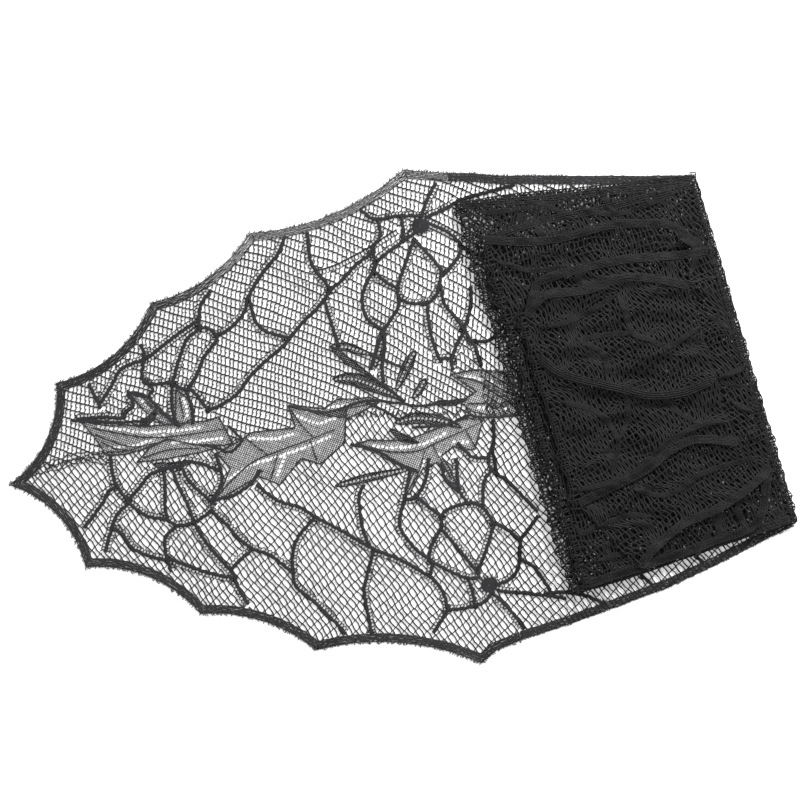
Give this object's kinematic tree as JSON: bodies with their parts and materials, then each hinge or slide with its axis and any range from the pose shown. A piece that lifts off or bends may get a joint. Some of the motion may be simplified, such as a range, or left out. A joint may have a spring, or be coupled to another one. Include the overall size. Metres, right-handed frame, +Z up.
{
  "type": "lace table runner",
  "caption": "Black knitted lace table runner with web and leaf motifs; one pointed scalloped end lies open, the rest is folded into a crinkled stack that unfolds flat.",
  "frame": {"origin": "below the middle of the runner as it lies folded, on the surface it rests on", "axes": "+X along the open end from its tip towards the folded stack, +Y across the runner, +Z up"},
  "size_m": [0.7112, 0.461, 0.0178],
  "materials": {
    "ground_net": "open warp-knitted polyester net, matt black",
    "folded_net": "the same net, folded and crinkled, matt black",
    "ribbed_border": "dense ribbed knit with a frayed edge, matt black",
    "web_cord": "dense inlaid cord of the web pattern, matt black",
    "leaf_mesh": "fine sheer knitted mesh, charcoal where light shows through"
  },
  "bodies": {
    "open_end": {"open_end_net": "ground_net", "open_end_upper_border": "ribbed_border", "open_end_lower_border": "ribbed_border", "upper_web_cords": "web_cord", "lower_web_cords": "web_cord", "upper_web_centre": "web_cord", "lower_web_centre": "web_cord", "leaf_1": "leaf_mesh", "leaf_2": "leaf_mesh", "leaf_3": "leaf_mesh", "leaf_4": "leaf_mesh", "buds": "web_cord", "bottom_ply_net": "ground_net", "bottom_ply_upper_border": "ribbed_border", "bottom_ply_lower_border": "ribbed_border", "fold_1": "folded_net"},
    "ply_2": {"ply_2_net": "folded_net", "ply_2_upper_border": "ribbed_border", "ply_2_lower_border": "ribbed_border", "fold_2": "folded_net"},
    "ply_3": {"ply_3_net": "folded_net", "ply_3_upper_border": "ribbed_border", "ply_3_lower_border": "ribbed_border", "fold_3": "folded_net"},
    "ply_4": {"ply_4_net": "folded_net", "ply_4_upper_border": "ribbed_border", "ply_4_lower_border": "ribbed_border", "fold_4": "folded_net"},
    "ply_5": {"ply_5_net": "folded_net", "ply_5_upper_border": "ribbed_border", "ply_5_lower_border": "ribbed_border", "fold_5": "folded_net"},
    "ply_6": {"ply_6_net": "folded_net", "ply_6_upper_border": "ribbed_border", "ply_6_lower_border": "ribbed_border", "fold_6": "folded_net"},
    "ply_7": {"ply_7_net": "folded_net", "ply_7_upper_border": "ribbed_border", "ply_7_lower_border": "ribbed_border"}
  },
  "joints": [
    {"name": "right_fold_1", "type": "hinge", "parent": "open_end", "child": "ply_2", "pos_m": [0.33262, 0.01884, 0.0024], "axis": [-0.1305, 0.9914, 0], "range_deg": [0, 180]},
    {"name": "left_fold_1", "type": "hinge", "parent": "ply_2", "child": "ply_3", "pos_m": [0.12047, 0.00604, 0.005], "axis": [0.1305, -0.9914, 0], "range_deg": [0, 180]},
    {"name": "right_fold_2", "type": "hinge", "parent": "ply_3", "child": "ply_4", "pos_m": [0.32904, 0.01535, 0.0076], "axis": [-0.1305, 0.9914, 0], "range_deg": [0, 180]},
    {"name": "left_fold_2", "type": "hinge", "parent": "ply_4", "child": "ply_5", "pos_m": [0.13565, -0.00961, 0.0102], "axis": [0.1305, -0.9914, 0], "range_deg": [0, 180]},
    {"name": "right_fold_3", "type": "hinge", "parent": "ply_5", "child": "ply_6", "pos_m": [0.32672, 0.01, 0.0128], "axis": [-0.1305, 0.9914, 0], "range_deg": [0, 180]},
    {"name": "left_fold_3", "type": "hinge", "parent": "ply_6", "child": "ply_7", "pos_m": [0.14886, -0.01039, 0.0154], "axis": [0.1305, -0.9914, 0], "range_deg": [0, 180]}
  ],
  "couplings": [
    {"joint": "left_fold_1", "follows": "right_fold_1", "ratio": 1},
    {"joint": "left_fold_2", "follows": "right_fold_2", "ratio": 1}
  ]
}
